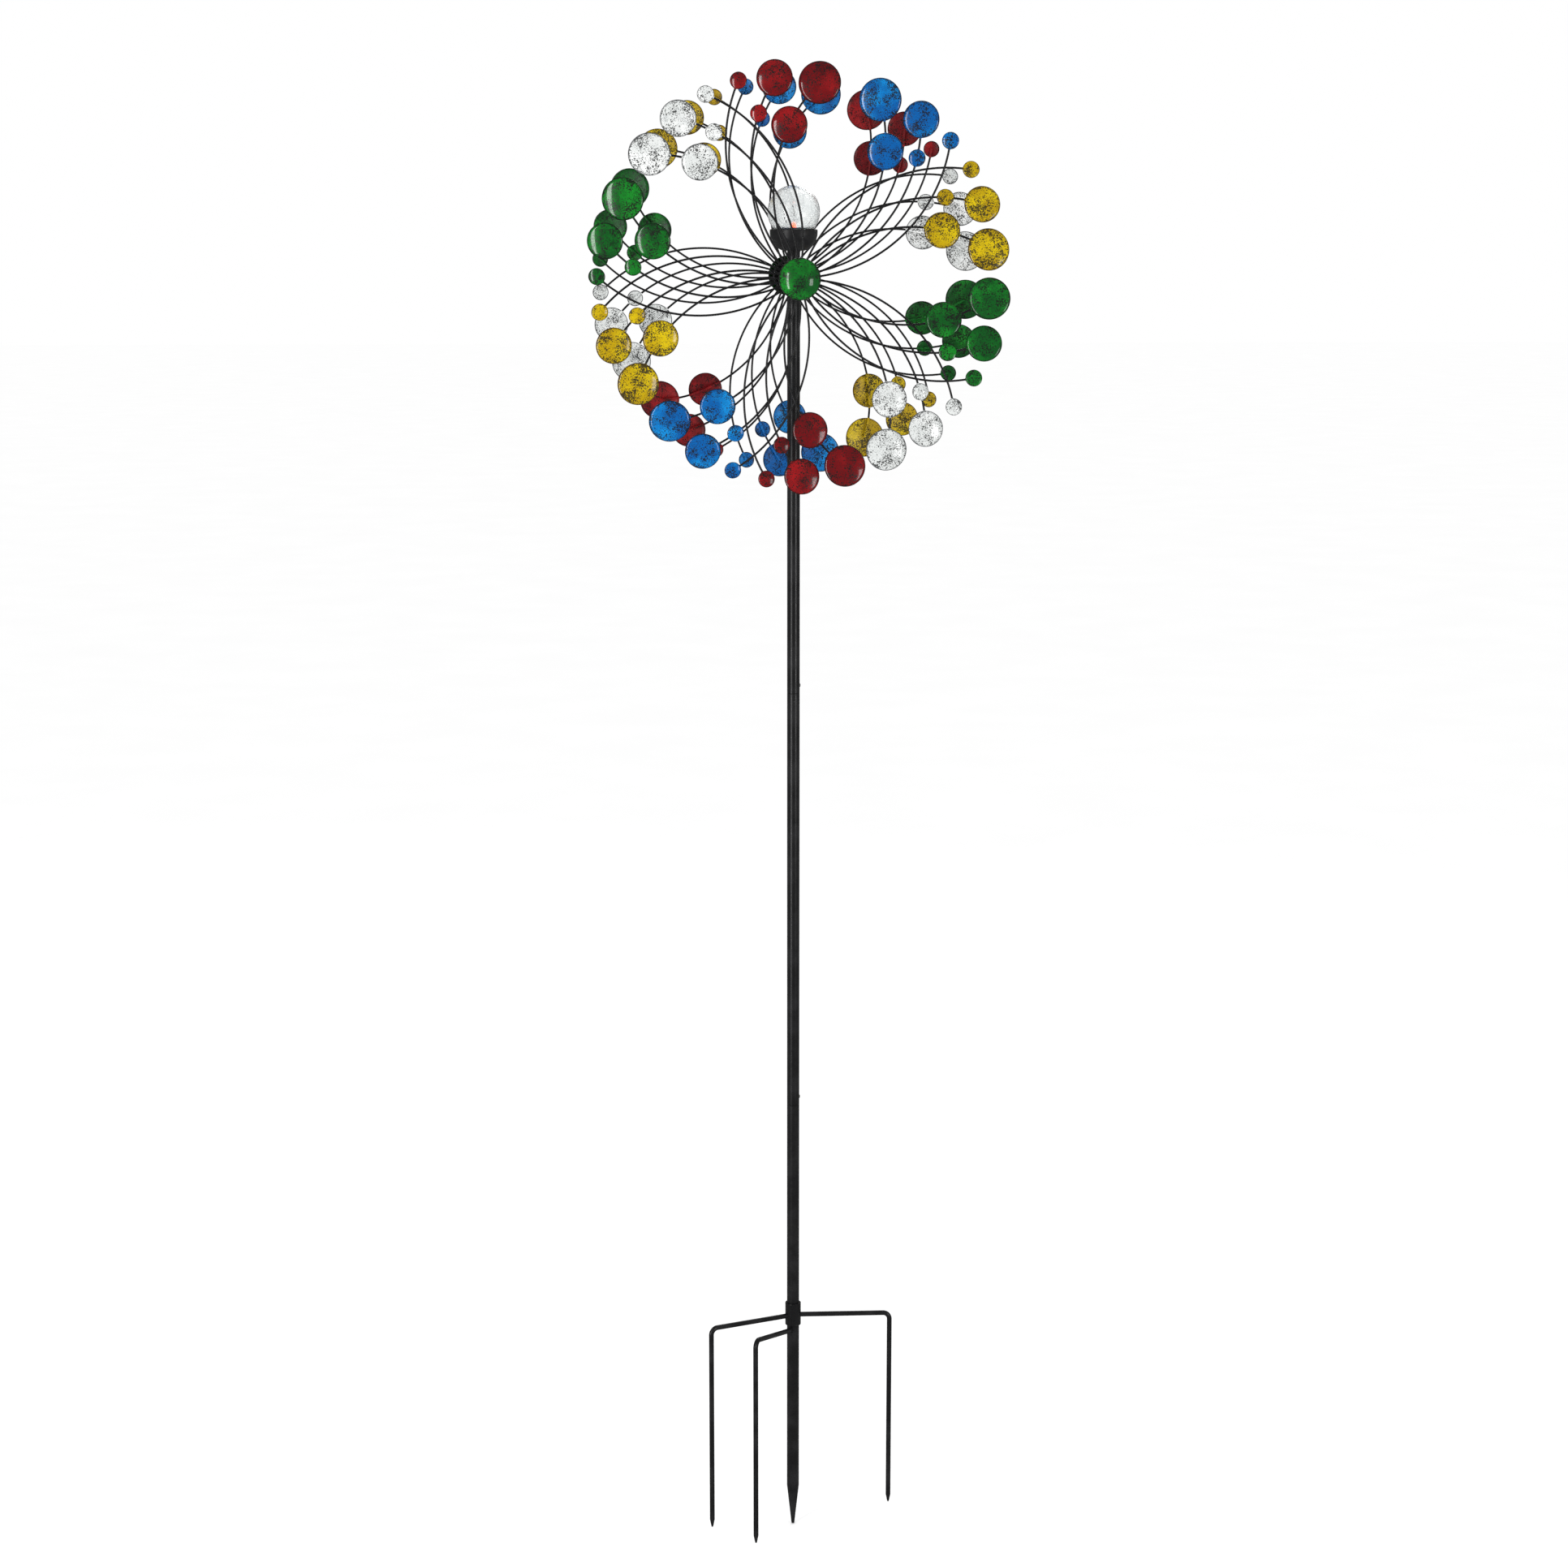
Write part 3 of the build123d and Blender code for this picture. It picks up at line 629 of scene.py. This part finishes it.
_, cup_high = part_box("light_cup")
ring_piece(
    "globe_glue_bead",
    cup_high.x - GLUE_INSIDE_CUP,
    cup_high.z - GLUE_BELOW_BRIM,
    GLUE_THICKNESS,
    "light",
    "black_plastic",
    wobble=0.35,
)
collar_low, collar_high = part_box("fork_collar")
for end, level in (
    ("lower", collar_low.z + LIP_FROM_END),
    ("upper", collar_high.z - LIP_FROM_END),
):
    ring_piece(
        f"{end}_collar_lip",
        collar_high.x - LIP_INSIDE_COLLAR,
        level,
        LIP_THICKNESS,
        "fork",
        "black_steel",
        wobble=0.2,
    )


# ------------------------------------------------ floor, backdrop and lights


def studio_floor():
    """A pale floor just under the object's lowest point."""
    mesh = bmesh.new()
    bmesh.ops.create_grid(mesh, x_segments=FLOOR_CELLS, y_segments=FLOOR_CELLS, size=FLOOR_REACH)
    data = bpy.data.meshes.new("studio_floor")
    mesh.to_mesh(data)
    mesh.free()
    n = Nodes("pale_floor")
    n.colour(
        n.mix(n.steps(n.noise(3.0), 0.3, 0.7), (0.985, 0.985, 0.985), (0.998, 0.998, 0.998))
    )
    n.set(Roughness=0.9, Specular_IOR_Level=0.0)
    data.materials.append(n.material)
    floor = bpy.data.objects.new("studio_floor", data)
    floor.location = (0.0, 0.0, CAD_BOX[0].z - FLOOR_GAP)
    bpy.context.scene.collection.objects.link(floor)
    floor.visible_glossy = False  # the enamel reflects the studio, not the paper under the fork


def studio_world():
    """White surroundings. Glossy surfaces see a dimmer room, as they do between the lamps of a studio."""
    world = bpy.data.worlds.new("studio")
    world.use_nodes = True
    tree = world.node_tree
    background = tree.nodes["Background"]
    background.inputs["Color"].default_value = (1.0, 1.0, 1.0, 1.0)
    ray = tree.nodes.new("ShaderNodeLightPath")
    room = tree.nodes.new("ShaderNodeMapRange")
    room.inputs["To Min"].default_value = WORLD_STRENGTH
    room.inputs["To Max"].default_value = WORLD_IN_REFLECTIONS
    # light through the globe counts as glossy too, and keeps the full strength
    reflected = tree.nodes.new("ShaderNodeMath")
    reflected.operation = "SUBTRACT"
    reflected.use_clamp = True
    tree.links.new(ray.outputs["Is Glossy Ray"], reflected.inputs[0])
    tree.links.new(ray.outputs["Is Transmission Ray"], reflected.inputs[1])
    tree.links.new(reflected.outputs["Value"], room.inputs["Value"])
    tree.links.new(room.outputs["Result"], background.inputs["Strength"])
    bpy.context.scene.world = world


def area_light(name, place, target, size, watts):
    light = bpy.data.lights.new(name, "AREA")
    light.shape = "RECTANGLE"
    light.size, light.size_y = size
    light.energy = watts
    item = bpy.data.objects.new(name, light)
    item.location = place
    aim = Vector(target) - Vector(place)
    item.rotation_euler = aim.to_track_quat("-Z", "Y").to_euler()
    bpy.context.scene.collection.objects.link(item)


studio_floor()
studio_world()
area_light("key_left", place=(-1.7, -2.0, 1.0), target=(0, 0, 0.9), size=(0.3, 2.6), watts=24.0)
area_light("fill_right", place=(2.2, -2.4, 0.8), target=(0, 0, 1.25), size=(0.7, 1.2), watts=14.0)
area_light("rim_behind", place=(0.8, 3.0, 2.6), target=(0, 0, 1.2), size=(1.2, 0.8), watts=12.0)


# --------------------------------------------------------------------- camera

hub_low, hub_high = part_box("front_hub")
axle_height = (hub_low.z + hub_high.z) / 2

camera = bpy.data.cameras.new("photo_camera")
camera.sensor_width = SENSOR_WIDTH
camera.lens = LENS
camera.clip_end = CAMERA_REACH
eye = bpy.data.objects.new("photo_camera", camera)
eye.location = (
    CAMERA_DISTANCE * math.sin(CAMERA_AZIMUTH),
    -CAMERA_DISTANCE * math.cos(CAMERA_AZIMUTH),
    axle_height + CAMERA_ABOVE_AXLE,
)
eye.rotation_euler = (
    math.pi / 2 - CAMERA_PITCH,
    0.0,
    CAMERA_AZIMUTH + CAMERA_YAW,
)
bpy.context.scene.collection.objects.link(eye)
bpy.context.scene.camera = eye
bpy.context.scene.view_settings.view_transform = "Standard"
